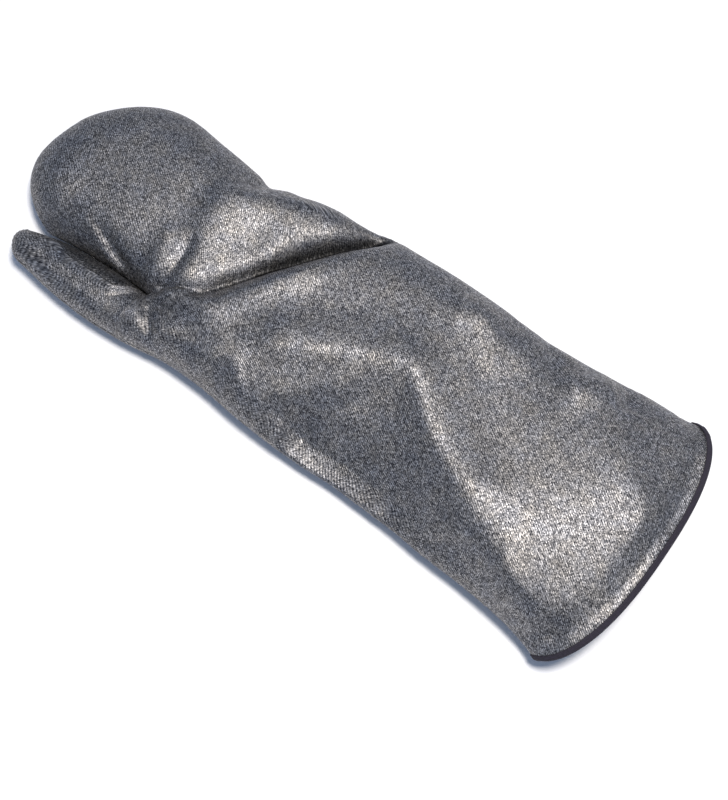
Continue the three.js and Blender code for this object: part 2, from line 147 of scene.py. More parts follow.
# Folds of the back: ends, sideways bend, height (a valley is negative), width on either side.
# The soft ones shape the padding, and the sharp ones crease the cloth over it.
SOFT_FOLDS = columns(
    "x0 y0 x1 y1 bend height left right power",
    (-30, 103, 95, 17, 3, -10.5, 7, 6, 1.4),
    (20, 73, 106, 12, 2, -6, 9, 7, 1.4),
    (-24, 110, 95, 19, 0, -5, 34, 10, 2),
    (-48, 98, 34, 42, -1, 4, 7, 16, 2),
    (40, 142, 97, 50, 0, 6, 14, 26, 2),
    (-44, 122, 60, 147, 0, 4, 14, 28, 2),
    (62, 139, 92, 124, 0, -4, 9, 8, 2),
    (-57, 150, -62, 250, 0, -8, 30, 32, 2),
    (66, -166, 93, -204, 0, 4.5, 14, 16, 2),
    (70, -62, 84, -100, 0, 4, 14, 14, 2),
    (-44, 45, 14, -64, 0, 7, 26, 18, 2),
    (-97, -2, -100, -130, 0, -19, 44, 50, 2),
    (-82, -12, -10, -76, 0, -8, 14, 70, 2),
    (-101, -125, -106, -200, 0, -9, 24, 40, 2),
    (8, -62, -58, -165, -6, 10, 24, 30, 2),
    (-62, -160, -110, -246, 0, 4, 16, 14, 2),
    (-76, -184, 34, -268, 0, 11.5, 58, 60, 2),
    (23, -109, 70, -159, 0, -3.5, 34, 38, 2),
    (-82, -196, -96, -262, 0, 6, 24, 14, 2),
    (-76, 118, -78, 40, 0, 6, 22, 14, 2),
    (-56, 141, -2, 141, -3, -2.8, 6, 8, 2),
    (-57, 156, -35, 212, 0, -2.4, 6, 5, 2),
    (-66, 138, -86, 120, 0, -3.5, 5, 5, 2),
    (-72, 54, -98, 60, 0, -3, 8, 6, 2),
    (-72, 2, -98, 6, 0, -3, 8, 7, 2),
    (-116, -238, -92, -266, 0, -6, 10, 9, 2),
    (98, -108, 74, -100, 0, -3.5, 8, 9, 2),
    (102, -132, 68, -158, 0, -3.5, 9, 9, 2),
    (104, -204, 78, -216, 0, -4, 9, 10, 2),
)
SHARP_FOLDS = columns(
    "x0 y0 x1 y1 bend height left right power",
    (-42, 113, 95, 17, 3, -1.6, 3.5, 3, 1.4),
    (-52, 148, -8, 161, 0, 1.6, 7, 7, 2),
    (-56, 141, -10, 140, -3, -1.6, 3, 4, 1.5),
    (-57, 157, -38, 206, 0, -1.6, 2.6, 3.5, 1.5),
    (-60, 167, -36, 226, 0, 1.2, 3, 3, 2),
    (-66, 138, -86, 120, 0, -1.6, 2.6, 3, 1.5),
    (-64, 132, -80, 111, 0, 1.0, 3, 3, 2),
    (-30, 14, 14, -64, 0, 0.4, 5, 9, 2),
    (10, -62, -52, -152, -6, 1, 8, 5, 2),
    (-74, 51, -98, 60, 0, -1.4, 3.5, 4, 1.5),
    (-72, 40, -94, 22, 0, 1.2, 4, 5, 2),
    (-74, 4, -96, 8, 0, -1.4, 3.5, 4, 1.5),
    (-80, -6, -100, -10, 0, 1.4, 4, 4, 2),
    (-66, -25, -102, -24, 0, -1.6, 5, 5, 1.5),
    (-93, -130, -74, -175, 0, 1.6, 5, 5, 2),
    (-114, -241, -94, -266, 0, -1.6, 3, 4, 1.5),
    (100, -104, 80, -102, 0, -1.6, 4, 4, 1.5),
    (100, -130, 72, -158, 0, -1.4, 4, 5, 1.5),
    (100, -186, 80, -186, 0, 1.4, 5, 5, 2),
    (102, -206, 84, -216, 0, -1.6, 4, 4, 1.5),
)
# Painted shade where the cloth is pinched so deep that no light gets in: laid out as folds, with the shade as
# the height
SHADES = columns(
    "x0 y0 x1 y1 bend height left right power",
    (0, 82, 97, 16, 2.5, 0.8, 6, 4, 2),
    (-48, 115, 95, 17, 3, 0.6, 3, 2.5, 2),
)
# Painted shade on the thumb's inner flank, which lies in the fingers' shadow: none below the first height,
# the full share above the second
FLANK_SHADE = 0.62
FLANK_HEIGHTS = (12, 20)
FOLD_BODY = 0.32
FOLD_END = 0.22
FOLD_RISE = 1.5

# The hem along the cuff lies lower than the gauntlet, with a lip beside the tape
HEM_DROP = 4.5
HEM_SIDES = (-80, 10)
HEM_LEFT_SHARE = 0.2
HEM_STEP = (8, 26)
LIP_ALONG = 4
LIP_WIDTH = 3.5
LIP_HEIGHT = 1.4

# Fineness of the grids
THUMB_STEPS = 44
FINGER_STEPS = 88
BODY_ROWS = 196
THUMB_ROWS = 48
FINGER_ROWS = 62
CROTCH_ROWS = 16
HEM_ROWS = 6
HEM_LENGTH = 3.2

# The cloth's weave: the ribs' slant, and floats and ribs to the metre
TWILL_SLANT = math.radians(-56)
YARN_FLOATS = (1100, 1220)
TWILL_RIBS = 191
TAPE_RIBS = 340

# Each digit's table and rows, its section's powers, where its tip starts to close, and the powers of
# its bow. Its right seam is rolled up by the last angle.
Digit = namedtuple("Digit", "table rows section_powers cap_start bow_powers roll")
THUMB_SHAPE = Digit(THUMB, THUMB_ROWS, THUMB_POWERS, THUMB_CAP, (CUFF_POWER, CUFF_POWER), THUMB_ROLL)
FINGER_SHAPE = Digit(FINGERS, FINGER_ROWS, FINGER_POWERS, FINGER_CAP, TIP_POWERS, 0)

# Noise: the values along each side of its grid, and for each octave a cell, a share and a seed
NOISE_GRID = 64
CLOTH_WAVES = ((46, 0.9, 3), (21, 0.45, 5), (9, 0.2, 8))
TAPE_WAVES = ((14, 0.12, 21), (60, 0.25, 22))

# Puckers and the groove along the seams. The hem under the tape is plain, and gets its relief
# between these two distances from the cuff.
PUCKER_PITCH = 7.5
PITCH_SWING = 1.5
SWING_LENGTH = 31
PUCKER_HEIGHT = 0.35
PUCKER_REACH = 7
TUG_CELL = 17
TUG_SEED = 11
FINE_HEIGHT = 0.45
FINE_PITCH = 3.1
FINE_REACH = 3.2
CROTCH_REACH = 60
GROOVE_REACH = 1.5
PLAIN_HEM = (5, 14)

# The wall is full this far from the cuff, and its lining keeps a margin from the seams' height
WALL_FULL = 26
LINING_MARGIN = 0.1
LINING_UV_SHIFT = 0.7
FLOOR_GAP = 0.02

# The tape: the room around the cloth, its outer edge and swell, its fold and its lapped end
TAPE_GAP = 0.15
TAPE_CLEARANCE = 0.5
TAPE_FADE = (6, 22)
TAPE_EDGE_FALL = 0.35
TAPE_SWELL = 0.25
SWELL_ROWS = 2
TAPE_FOLD = math.radians(75)
TAPE_FOLD_STEPS = 9
TAPE_BULGE = 0.9
LAP_FROM_CORNER = 14
LAP_FLAT = 5
LAP_END = 7
LAP_LIFT = 0.55
LAP_BULGE = 0.4

# The stage, in metres
FLOOR_HALF = 6.0
FLOOR_DROP = 0.0002
FLOOR_COLOUR = (0.92, 0.92, 0.93, 1)
SENSOR_WIDTH = 36
KEY_AZIMUTH = math.radians(30)
KEY_ELEVATION = math.radians(80)
KEY_DISTANCE = 2.2
KEY_SIZE = 0.5
KEY_COLOUR = (1.0, 0.95, 0.89)
SKY_COLOUR = (0.56, 0.71, 1.0, 1)

# A distance beyond every point of the mitt, a length near to none, and batches that save memory
FAR = 1000.0
TINY = 1e-12
RIM_BATCHES = 16


def mix(a, b, t):
    """A straight blend from a to b."""
    return a + (b - a) * t


def smooth_step(low, high, value):
    """0 below low, 1 above high, and the cubic 3t^2 - 2t^3 between them."""
    t = np.clip((value - low) / (high - low), 0, 1)
    return t * t * (3 - 2 * t)


def bump(off, width):
    """The bell exp(-(off / width)^2)."""
    return np.exp(-((off / width) ** 2))


def arch(across, power):
    """A rounded section: the square root of 1 - |across|^power."""
    return np.sqrt(np.clip(1 - np.abs(across) ** power, 0, 1))


def side_power(across, powers):
    """The power of a section's left half, and of its right half."""
    return np.where(across < 0, powers[0], powers[1])


def look_up(table, key, position):
    """A table's columns at any positions, by cubics whose slopes are those of the chords beside them."""
    keys = table[key]
    last = len(keys) - 1
    at = np.clip(position, keys[0], keys[-1])
    low = np.clip(np.searchsorted(keys, at) - 1, 0, last - 1)
    rows = [np.maximum(low - 1, 0), low, low + 1, np.minimum(low + 2, last)]
    k0, k1, k2, k3 = (keys[row] for row in rows)
    span = k2 - k1
    t = (at - k1) / span
    found = {}
    for name, values in table.items():
        p0, p1, p2, p3 = (values[row] for row in rows)
        start = (p2 - p0) / (k2 - k0) * span
        end = (p3 - p1) / (k3 - k1) * span
        found[name] = (
            (2 * t**3 - 3 * t**2 + 1) * p1
            + (t**3 - 2 * t**2 + t) * start
            + (3 * t**2 - 2 * t**3) * p2
            + (t**3 - t**2) * end
        )
    return found


def fold_height(folds, x, y):
    """The sum of the folds at a place: each is a bell across its line, tapered off past its ends."""
    height = np.zeros_like(x)
    for x0, y0, x1, y1, bend, rise, left, right, power in zip(*folds.values()):
        dx, dy = x1 - x0, y1 - y0
        length = math.hypot(dx, dy)
        t = ((x - x0) * dx + (y - y0) * dy) / length**2
        inside = np.clip(t, 0, 1)
        off = ((y - y0) * dx - (x - x0) * dy) / length - bend * 4 * inside * (1 - inside)
        beyond = np.maximum(0, np.abs(t - 0.5) - FOLD_BODY)
        profile = np.exp(-np.abs(off / np.where(off > 0, left, right)) ** power)
        height += rise * profile * bump(beyond, FOLD_END)
    return height


def row_point(left_x, left_y, right_x, right_y, across, bow, powers=(CUFF_POWER, CUFF_POWER)):
    """A point between a row's two ends, bowed out square to them by bow times an arch."""
    dx, dy = right_x - left_x, right_y - left_y
    out = bow * arch(across, side_power(across, powers)) / np.hypot(dx, dy)
    t = (1 + across) / 2
    return left_x + dx * t - dy * out, left_y + dy * t + dx * out


def section_height(upper, across, crown, seam, power, cap):
    """Above the seams an arch up to the crown, and below them a boxy arch pressed flat at the floor."""
    over = seam + (crown - seam) * cap * arch(across, power)
    under = np.maximum(0, seam * (1 - PRESS * cap * arch(across, UNDER_POWER)))
    return np.where(upper, over, under)


def body_grid(side, along, share):
    """The gauntlet and hand: sections by distance from the cuff, parting into two at the crotch.

    along runs down the grid and share across it. Returns x, y, z and how far the section has risen.
    """
    along, share = along[:, None], share[None, :]
    section = look_up(SECTIONS, "along", along)
    left_y = CUFF_LEFT_Y + along / BODY_LENGTH * (THUMB["left_y"][0] - CUFF_LEFT_Y)
    right_y = CUFF_RIGHT_Y + along / BODY_LENGTH * (FINGERS["right_y"][0] - CUFF_RIGHT_Y)
    left_x = look_up(OUTLINE, "y", left_y)["left"]
    right_x = look_up(OUTLINE, "y", right_y)["right"]
    across = -np.cos(np.pi * share)
    bow = section["bow"] if side > 0 else section["under_bow"]
    x, y = row_point(left_x, left_y, right_x, right_y, across, bow)
    z = section_height(side > 0, across, section["crown"], section["seam"], TOP_POWER, 1)
    rise = arch(across, TOP_POWER)

    below = BODY_LENGTH - along
    gentle = 1 - smooth_step(0, BLEND_LENGTH, below)
    steep = 1 - np.sqrt(1 - np.clip(1 - below / VALLEY_LENGTH, 0, 1) ** 2)
    parted = mix(gentle, steep, bump(share - THUMB_SHARE, VALLEY_WIDTH))
    crotch = (THUMB["right_x"][0] - THUMB["left_x"][0]) / (FINGERS["right_x"][0] - THUMB["left_x"][0])
    crotch_up = THUMB["right_y"][0] - mix(THUMB["left_y"][0], FINGERS["right_y"][0], crotch)
    parting_x = mix(left_x, right_x, crotch)
    parting_y = mix(left_y, right_y, crotch) + crotch_up
    thumb = share <= THUMB_SHARE
    part = np.where(thumb, share / THUMB_SHARE, (share - THUMB_SHARE) / (1 - THUMB_SHARE))
    across = -np.cos(np.pi * part)
    split_x, split_y = row_point(
        np.where(thumb, left_x, parting_x),
        np.where(thumb, left_y, parting_y),
        np.where(thumb, parting_x, right_x),
        np.where(thumb, parting_y, right_y),
        across,
        0,
    )
    power = np.where(thumb, side_power(across, THUMB_POWERS), side_power(across, FINGER_POWERS))
    crown = np.where(thumb, THUMB["crown"][0], FINGERS["crown"][0])
    seam = np.where(thumb, THUMB["seam"][0], FINGERS["seam"][0])
    split_z = section_height(side > 0, across, crown, seam, power, 1)
    x, y, z = mix(x, split_x, parted), mix(y, split_y, parted), mix(z, split_z, parted)
    return x, y, z, mix(rise, arch(across, power), parted)


def digit_rows(digit):
    """Where a digit's rows lie, closer together towards both ends, and how far each is rolled."""
    at = (1 - np.cos(np.pi * np.arange(1, digit.rows + 1) / digit.rows)) / 2
    fade = smooth_step(0, ROLL_FULL, at) * (1 - smooth_step(ROLL_FADE, ROLL_END, at))
    return at, digit.roll * fade


def digit_grid(side, digit, at, part, roll):
    """The thumb or the fingers: sections by share of their length, closing to the tip as a quarter round.

    The section's angle runs from the left seam to the right one, which may be rolled up by an angle.
    """
    at, part, roll = at[:, None], part[None, :], roll[:, None]
    row = look_up(digit.table, "at", at)
    cap = np.sqrt(1 - (np.maximum(0, at - digit.cap_start) / (1 - digit.cap_start)) ** 2)
    turn = roll - np.pi if side > 0 else roll + np.pi
    angle = np.pi + turn * part
    across = np.cos(angle)
    ends = (row["left_x"], row["left_y"], row["right_x"], row["right_y"])
    x, y = row_point(*ends, across, row["bow"], digit.bow_powers)
    power = side_power(across, digit.section_powers)
    z = section_height(np.sin(angle) >= -TINY, across, row["crown"], row["seam"], power, cap)
    level = -np.cos(np.pi * part)
    return x, y, z, arch(level, side_power(level, digit.section_powers)) * cap


def value_noise(x, y, cell, seed):
    """Smooth noise from -1 to 1: random values on a grid of cells, blended by cubics between them."""
    values = np.random.default_rng(seed).uniform(-1, 1, (NOISE_GRID, NOISE_GRID))
    u, v = x / cell, y / cell
    i, j = np.floor(u).astype(int), np.floor(v).astype(int)
    s, t = smooth_step(0, 1, u - i), smooth_step(0, 1, v - j)
    left, right = i % NOISE_GRID, (i + 1) % NOISE_GRID
    low, high = j % NOISE_GRID, (j + 1) % NOISE_GRID
    lower = mix(values[left, low], values[right, low], s)
    upper = mix(values[left, high], values[right, high], s)
    return mix(lower, upper, t)


def noise_waves(x, y, octaves):
    """The sum over the octaves of each one's share times the noise of its cell and seed."""
    return sum(share * value_noise(x, y, cell, seed) for cell, share, seed in octaves)


def round_tip(grid):
    """A digit's rim from its right foot over the tip to its left foot, and the points beside it."""
    right, top, left = grid[1:, -1], grid[-1, :-1][::-1], grid[1:-1, 0][::-1]
    beside_right = np.append(grid[1:-1, -2], grid[-2, -2])
    beside_top = np.append(grid[-2, 1:-1][::-1], grid[-2, 1])
    beside_left = grid[1:-1, 1][::-1]
    return np.concatenate([right, top, left]), np.concatenate([beside_right, beside_top, beside_left])


class Panel:
    """One panel's grids, joined into one sheet of quads that share the row at the crotch."""

    def __init__(self, side):
        self.side = side
        thumb_share = np.linspace(0, THUMB_SHARE, THUMB_STEPS + 1)
        finger_share = np.linspace(THUMB_SHARE, 1, FINGER_STEPS + 1)[1:]
        valley = BODY_LENGTH - VALLEY_LENGTH
        t = np.linspace(0, 1, CROTCH_ROWS + 1)[1:]
        hem_rows = np.linspace(0, HEM_LENGTH, HEM_ROWS + 1)[:-1]
        body_rows = np.linspace(HEM_LENGTH, valley, BODY_ROWS + 1)
        crotch_rows = valley + VALLEY_LENGTH * (1 - (1 - t) ** 2)
        self.along = np.concatenate([hem_rows, body_rows, crotch_rows])
        body = np.stack(body_grid(side, self.along, np.concatenate([thumb_share, finger_share])))
        self.body = np.arange(body[0].size).reshape(body[0].shape)
        thumb_foot, finger_foot = self.body[-1, : THUMB_STEPS + 1], self.body[-1, THUMB_STEPS:]
        thumb, self.thumb, self.roll = self.digit(THUMB_SHAPE, thumb_foot, self.body.size)
        before_fingers = self.body.size + thumb[0].size
        fingers, self.fingers, _ = self.digit(FINGER_SHAPE, finger_foot, before_fingers)
        grids = (body, thumb, fingers)
        x, y, z, self.rise = (np.concatenate([grid[k].ravel() for grid in grids]) for k in range(4))
        self.distance = np.full(x.size, FAR)
        self.distance[self.body] = self.along[:, None]
        if side > 0:
            z = z + self.rise * self.hem_height(x) + fold_height(SOFT_FOLDS, x, y) * self.fold_share()
        else:
            tape = mitt_sizes().tape_thickness / MM + TAPE_CLEARANCE
            z = z + self.rise * tape * (1 - smooth_step(*TAPE_FADE, self.distance))
        self.points = np.stack([x, y, z], 1)
        self.quads = np.concatenate([self.quads_of(grid) for grid in (self.body, self.thumb, self.fingers)])
        self.edge, self.beside = self.rim_numbers()

    def digit(self, shape, foot, before):
        """A digit's grid, its points' numbers from the row at its foot on, and the roll of each row."""
        at, roll = digit_rows(shape)
        grid = np.stack(digit_grid(self.side, shape, at, np.linspace(0, 1, len(foot)), roll))
        numbers = before + np.arange(grid[0].size).reshape(grid[0].shape)
        return grid, np.vstack([foot, numbers]), roll

    def fold_share(self):
        """Folds fade out towards the seams, where the section has not risen."""
        return np.minimum(1, FOLD_RISE * self.rise)

    def hem_height(self, x):
        """The hem's drop below a smooth step, and the lip's bell, by distance from the cuff."""
        drop = HEM_DROP * (1 - smooth_step(*HEM_STEP, self.distance))
        drop *= mix(HEM_LEFT_SHARE, 1, smooth_step(*HEM_SIDES, x))
        return LIP_HEIGHT * bump(self.distance - LIP_ALONG, LIP_WIDTH) - drop

    def quads_of(self, grid):
        """A grid's cells as quads that face out."""
        a, b, c, d = grid[:-1, :-1], grid[:-1, 1:], grid[1:, 1:], grid[1:, :-1]
        order = (a, b, c, d) if self.side > 0 else (a, d, c, b)
        return np.stack([corner.ravel() for corner in order], 1)

    def rim_numbers(self):
        """The rim from the cuff's right corner round the hand to its left one, and the points beside it."""
        fingers, beside_fingers = round_tip(self.fingers)
        thumb, beside_thumb = round_tip(self.thumb)
        crotch, below = self.body[-1:, THUMB_STEPS], self.body[-2:-1, THUMB_STEPS]
        edge = [self.body[:, -1], fingers, crotch, thumb, self.body[::-1, 0]]
        beside = [self.body[:, -2], beside_fingers, below, beside_thumb, self.body[::-1, 1]]
        return np.concatenate(edge), np.concatenate(beside)


def mitt_sizes():
    """The sizes that the sidebar shows."""
    return bpy.context.scene.mitt_sizes


def face_normals(points, quads):
    """Each quad's area times its normal: half the cross product of its diagonals."""
    a, b, c, d = (points[quads[:, k]] for k in range(4))
    return np.cross(c - a, d - b) / 2


def point_normals(points, quads):
    """The sum of the faces' area normals at each point."""
    sums = np.zeros_like(points)
    normals = face_normals(points, quads)
    for k in range(4):
        np.add.at(sums, quads[:, k], normals)
    return sums


def unit(vectors):
    """The vectors at length 1."""
    return vectors / np.maximum(np.linalg.norm(vectors, axis=1, keepdims=True), TINY)


def skin_normals(back, palm):
    """Outward directions of the closed skin of both panels, level along the seams or turned by their roll."""
    sums = [point_normals(panel.points, panel.quads) for panel in (back, palm)]
    shared = sums[0][back.edge] + sums[1][palm.edge]
    normals = []
    for panel, total in zip((back, palm), sums):
        total[panel.edge] = shared
        total = unit(total)
        roll = np.zeros(len(panel.points))
        roll[panel.thumb[1:, -1]] = panel.roll
        flat = total[panel.edge] * (1, 1, 0)
        turn = roll[panel.edge][:, None]
        total[panel.edge] = unit(flat) * np.cos(turn) + np.array([0, 0, 1]) * np.sin(turn)
        normals.append(total)
    return normals


def arc_lengths(points, axis=0):
    """Lengths along one axis of a grid of points: 0 at its start, then the sum of the steps so far."""
    steps = np.linalg.norm(np.diff(points, axis=axis), axis=-1)
    start = np.zeros_like(np.take(steps, [0], axis))
    return np.concatenate([start, np.cumsum(steps, axis=axis)], axis=axis)


def cloth_lengths(place, middle):
    """A grid's lengths along its rows, with the middle column at its own x, and up its columns."""
    across = arc_lengths(place, 1)
    across += (place[:, middle, 0] - across[:, middle])[:, None]
    return np.stack([across, arc_lengths(place)], -1)


def grid_uv(panel):
    """Lengths along the cloth in metres: across from the middle of each row, and up from the cuff."""
    uv = np.zeros((len(panel.points), 2))
    body = cloth_lengths(panel.points[panel.body], panel.body.shape[1] // 2)
    body[:, :, 1] += panel.points[panel.body[0], 1]
    uv[panel.body] = body
    for grid, middle in ((panel.thumb, 0), (panel.fingers, panel.fingers.shape[1] // 2)):
        own = cloth_lengths(panel.points[grid], middle)
        uv[grid[1:]] = (own - own[:1] + uv[grid[0]])[1:]
    return uv * MM


def nearest_on_rim(panel):
    """For each point, its distance to the nearest point of the rim, and that point's place in the rim.

    The squared distance is p.p + r.r - 2 p.r, and p.p is the same for all of the rim.
    """
    rim = panel.points[panel.edge]
    own = (rim**2).sum(axis=1)
    batches = np.array_split(panel.points, RIM_BATCHES)
    nearest = np.concatenate([np.argmin(own - 2 * batch @ rim.T, axis=1) for batch in batches])
    return np.linalg.norm(panel.points - rim[nearest], axis=1), nearest


def seam_relief(panel):
    """Puckers that run in from the seams, and the groove along them.

    The puckers are sines of the length along the rim, at a pitch that swings, each times a bell of the
    distance from the rim. Noise tugs at them, and finer ones are added near the crotch.
    """
    reach, nearest = nearest_on_rim(panel)
    place = arc_lengths(panel.points[panel.edge])[nearest]
    crotch = panel.points[panel.body[-1, THUMB_STEPS]]
    to_crotch = np.linalg.norm(panel.points - crotch, axis=1)
    pitch = PUCKER_PITCH + PITCH_SWING * np.sin(place / SWING_LENGTH)
    tug = 0.5 + 0.5 * value_noise(place, 0, TUG_CELL, TUG_SEED)
    pucker = PUCKER_HEIGHT * tug * np.sin(2 * np.pi * place / pitch) * bump(reach, PUCKER_REACH)
    fine = FINE_HEIGHT * np.sin(2 * np.pi * place / FINE_PITCH) * bump(reach, FINE_REACH)
    groove = mitt_sizes().seam_depth / MM * bump(reach, GROOVE_REACH)
    return pucker + fine * bump(to_crotch, CROTCH_REACH) - groove


def surface_detail(panel):
    """Height of the cloth over its padding: soft waves, the back's sharp creases, and the seams' relief."""
    x, y = panel.points[:, :2].T
    sizes = mitt_sizes()
    share = panel.fold_share()
    height = sizes.wave_height / MM * noise_waves(x, y, CLOTH_WAVES) * share
    if panel.side > 0:
        height += sizes.crease_share * fold_height(SHARP_FOLDS, x, y) * share
    return (height + seam_relief(panel)) * smooth_step(*PLAIN_HEM, panel.distance)


def painted_cavity_shade(panel):
    """The painted shade of the cloth's hollows: the shades of the back, or the thumb's inner flank on the
    palm.
    """
    x, y, z = panel.points.T
    if panel.side > 0:
        return np.clip(fold_height(SHADES, x, y), 0, 1)
    shade = np.zeros(len(x))
    shade[panel.thumb] = FLANK_SHADE * smooth_step(*FLANK_HEIGHTS, z[panel.thumb])
    return shade


def mesh_object(name, points, faces, uv, material, shade=None):
    """A named object from points in metres, quads, a UV for each point, its material and its painted shade.
    """
    mesh = bpy.data.meshes.new(name)
    mesh.from_pydata(points.tolist(), [], faces.tolist())
    layer = mesh.uv_layers.new(name="UVMap")
    corners = np.empty(len(mesh.loops), np.int32)
    mesh.loops.foreach_get("vertex_index", corners)
    layer.data.foreach_set("uv", uv[corners].astype(np.float32).ravel())
    mesh.polygons.foreach_set("use_smooth", np.ones(len(mesh.polygons), bool))
    mesh.materials.append(material)
    if shade is not None:
        attribute = mesh.attributes.new("shade", "FLOAT", "POINT")
        attribute.data.foreach_set("value", shade.astype(np.float32))
    mesh.update()
    made = bpy.data.objects.new(name, mesh)
    bpy.context.scene.collection.objects.link(made)
    return made


def panel_object(name, panel, normals, material):
    """A padded panel: the cloth, the lining one wall further in, and the band that joins their rims."""
    sizes = mitt_sizes()
    thickening = smooth_step(HEM_LENGTH, WALL_FULL, panel.distance)
    wall = mix(sizes.hem_wall, sizes.wall, thickening) / MM
    outer = panel.points + normals * surface_detail(panel)[:, None]
    inner = panel.points - normals * wall[:, None]
    # The back's lining stays above the seams, and the palm's below them
    level = np.full(len(outer), np.nan)
    level[panel.body] = look_up(SECTIONS, "along", panel.along)["seam"][:, None]
    level[panel.fingers[1:]] = panel.points[panel.fingers[1:, :1], 2]
    limit = np.where(np.isnan(level), inner[:, 2], level + LINING_MARGIN * panel.side)
    inner[:, 2] = np.maximum(inner[:, 2], limit) if panel.side > 0 else np.minimum(inner[:, 2], limit)
    rim = panel.edge
    back_off = unit(panel.points[panel.beside] - panel.points[rim]) * sizes.seam_gap / MM / 2
    outer[rim] += back_off
    inner[rim] += back_off
    outer[:, 2] = np.maximum(outer[:, 2], FLOOR_GAP)
    count = len(outer)
    loop = np.concatenate([panel.body[0, :-1], rim[:-1]])
    after = np.roll(loop, -1)
    band = np.stack([loop, loop + count, after + count, after], 1)
    if panel.side < 0:
        band = band[:, ::-1]
    faces = np.concatenate([panel.quads, panel.quads[:, ::-1] + count, band])
    points = (np.concatenate([outer, inner]) + MITT_SHIFT) * MM
    uv = grid_uv(panel)
    uv = np.concatenate([uv, uv + LINING_UV_SHIFT])
    shade = np.concatenate([painted_cavity_shade(panel), np.zeros(count)])
    return mesh_object(name, points, faces, uv, material, shade)


def binding_object(back, palm, normals, material):
    """The tape over the rim: a U profile carried round the mouth, with rounded folds and one lapped end."""
    sizes = mitt_sizes()
    tape, wall = sizes.tape_thickness / MM, sizes.hem_wall / MM
    rows = HEM_ROWS + 1
    upper, lower = back.body[:rows].T, palm.body[:rows, -2:0:-1].T
    skin = np.concatenate([back.points[upper], palm.points[lower]])
    normal = np.concatenate([normals[0][upper], normals[1][lower]])
    rim = skin[:, 0]
    forward = unit(np.roll(rim, -1, axis=0) - np.roll(rim, 1, axis=0))
    outward = unit(np.cross(forward, normal[:, 0]))[:, None]
    place = arc_lengths(rim)
    # The tape laps over its own end near the little finger's corner, and is a little uneven
    off = place - (place[len(upper) - 1] - LAP_FROM_CORNER)
    lap = (smooth_step(-LAP_END, -LAP_FLAT, off) * (1 - smooth_step(LAP_FLAT, LAP_END, off)))[:, None]
    lift = TAPE_GAP + tape + LAP_LIFT * lap
    row = np.arange(rows)
    fall = TAPE_EDGE_FALL * (row == rows - 1)
    outer = skin + normal * (lift - fall + TAPE_SWELL * bump(row, SWELL_ROWS))[..., None]
    outer[:, -1] += unit(skin[:, -1] - skin[:, -2]) * noise_waves(place, 0, TAPE_WAVES)[:, None]
    inner = skin - normal * (wall + lift - fall)[..., None]
    turn = np.linspace(TAPE_FOLD, -TAPE_FOLD, TAPE_FOLD_STEPS)
    out = (TAPE_GAP + tape + TAPE_BULGE) * np.cos(turn) + LAP_BULGE * lap
    up = (wall / 2 + TAPE_GAP + tape) * np.sin(turn) - wall / 2
    fold = rim[:, None] + normal[:, :1] * up[:, None] + outward * out[..., None]
    # The tape's own inside, which lies against the cloth
    under, over = skin - normal * (wall + TAPE_GAP), skin + normal * TAPE_GAP
    corners = [under[:, :1] + outward * TAPE_GAP, over[:, :1] + outward * TAPE_GAP]
    points = np.concatenate([outer[:, ::-1], fold, inner, under[:, ::-1], *corners, over], axis=1)
    number = np.arange(points[..., 0].size).reshape(points.shape[:2])
    a, b = number, np.roll(number, -1, axis=1)
    c, d = np.roll(b, -1, axis=0), np.roll(a, -1, axis=0)
    faces = np.stack([corner.ravel() for corner in (a, b, c, d)], 1)
    width = arc_lengths(points, 1)
    uv = np.stack([np.broadcast_to(place[:, None], width.shape), width], -1).reshape(-1, 2) * MM
    flat = points.reshape(-1, 3) + MITT_SHIFT
    flat[:, 2] = np.maximum(flat[:, 2], 0)
    return mesh_object("cuff_tape", flat * MM, faces, uv, material)


def add_node(tree, kind, values=None, links=None, **settings):
    """A node with its settings, its sockets' values, and links from other nodes' outputs."""
    made = tree.nodes.new(kind)
    for name, value in settings.items():
        setattr(made, name, value)
    for name, value in (values or {}).items():
        made.inputs[name].default_value = value
    for name, source in (links or {}).items():
        tree.links.new(source, made.inputs[name])
    return made


def new_material(name):
    """An empty material: its node tree and its principled shader."""
    material = bpy.data.materials.new(name)
    material.use_nodes = True
    tree = material.node_tree
    return material, tree, tree.nodes["Principled BSDF"]


def multiplied(tree, first, second):
    """The product of two colours."""
    made = add_node(tree, "ShaderNodeMix", data_type="RGBA", blend_type="MULTIPLY")
    made.inputs["Factor"].default_value = 1
    sockets = [socket for socket in made.inputs if socket.type == "RGBA"]
    for source, socket in zip((first, second), sockets):
        tree.links.new(source, socket)
    return next(socket for socket in made.outputs if socket.type == "RGBA")


def multiply_add(tree, first, factor, second):
    """One output times a factor, plus another output."""
    links = {0: first, 2: second}
    return add_node(tree, "ShaderNodeMath", {1: factor}, links, operation="MULTIPLY_ADD").outputs[0]


def colour_ramp(tree, factor, *stops):
    """A ramp of (position, colour) stops over a factor."""
    made = add_node(tree, "ShaderNodeValToRGB", links={"Fac": factor})
    elements = made.color_ramp.elements
    while len(elements) < len(stops):
        elements.new(0.5)
    for element, (position, colour) in zip(elements, stops):
        element.position = position
        element.color = tuple(colour) + (1,)
    return made.outputs["Color"]


def add_ribs(tree, vector, scale, distortion, direction):
    """Wavy bands across one axis of a vector."""
    values = {"Scale": scale, "Distortion": distortion, "Detail": 1}
    links = {"Vector": vector}
    return add_node(tree, "ShaderNodeTexWave", values, links, bands_direction=direction).outputs["Fac"]


def add_bump(tree, shader, height, strength, distance):
    """The shader's normal, bent by a height."""
    values = {"Strength": strength, "Distance": distance}
    made = add_node(tree, "ShaderNodeBump", values, {"Height": height})
    tree.links.new(made.outputs["Normal"], shader.inputs["Normal"])


